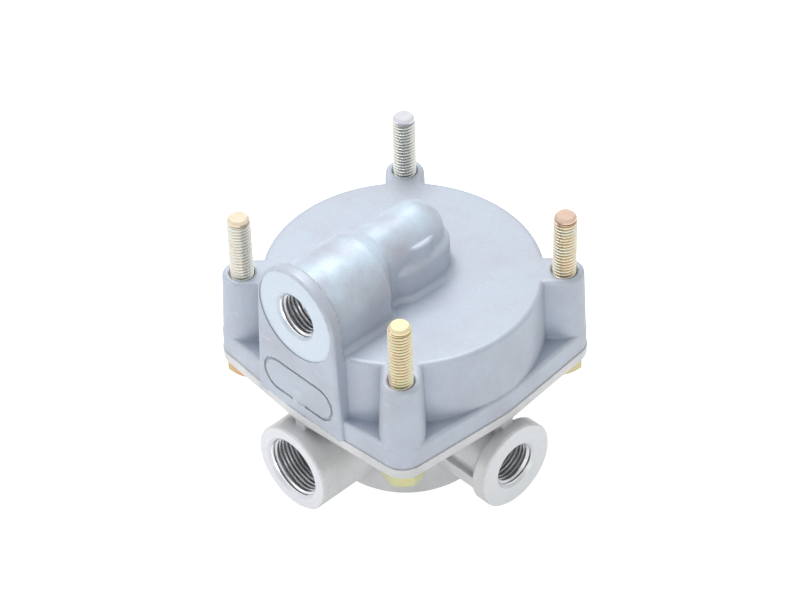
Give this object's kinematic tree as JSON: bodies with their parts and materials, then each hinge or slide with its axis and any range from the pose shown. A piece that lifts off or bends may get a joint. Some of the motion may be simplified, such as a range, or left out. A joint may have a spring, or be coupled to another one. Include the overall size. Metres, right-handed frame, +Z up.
{
  "type": "air brake relay valve",
  "caption": "Pneumatic brake relay valve: drum-shaped cast cover with a control port on a ribbed plate, ported lower body, piston and double seat valve inside.",
  "frame": {"origin": "centre of the exhaust opening, in the plane of the lower body's bottom rim, on which the valve stands", "axes": "+Z up along the piston axis towards the cover; -Y towards the supply and control ports; X through the two delivery ports"},
  "size_m": [0.1058, 0.1033, 0.1043],
  "materials": {
    "cover_casting": "die cast, bead blasted, pale blue-grey, satin",
    "housing_casting": "die cast, bare light grey, satin, machined port faces",
    "piston_casting": "die cast, turned skirt",
    "guide_metal": "turned",
    "valve_metal": "turned",
    "black_rubber": "moulded nitrile, matt",
    "spring_steel": "drawn wire, ground ends",
    "plated_steel": "bright zinc plated sheet",
    "phosphated_steel": "black phosphated",
    "grid_plastic": "moulded, black",
    "yellow_zinc": "yellow chromated zinc with faint pink and green tints"
  },
  "bodies": {
    "housing": {"upper_housing": "cover_casting", "lower_housing": "housing_casting", "housing_o_ring": "black_rubber", "valve_spring": "spring_steel", "spring_washer": "plated_steel", "valve_guide": "guide_metal", "guide_o_ring": "black_rubber", "tube_lip_ring": "black_rubber", "lip_ring_retainer": "plated_steel", "tube_wiper_ring": "black_rubber", "retaining_ring": "phosphated_steel", "exhaust_grid": "grid_plastic", "exhaust_flap": "black_rubber", "flap_washer": "plated_steel", "flap_screw": "plated_steel", "cover_bolts": "yellow_zinc"},
    "inlet_valve": {"valve_tube": "valve_metal", "valve_rubber": "black_rubber"},
    "piston": {"relay_piston": "piston_casting", "piston_o_ring": "black_rubber"}
  },
  "joints": [
    {"name": "inlet_valve_travel", "type": "slide", "parent": "housing", "child": "inlet_valve", "axis": [0, 0, -1], "range_m": [0, 0.0025], "stiffness_N_per_m": 3000, "springref_m": -0.006, "deforming": ["valve_spring"]},
    {"name": "piston_lift", "type": "slide", "parent": "inlet_valve", "child": "piston", "axis": [0, 0, 1], "range_m": [0, 0.003]}
  ]
}
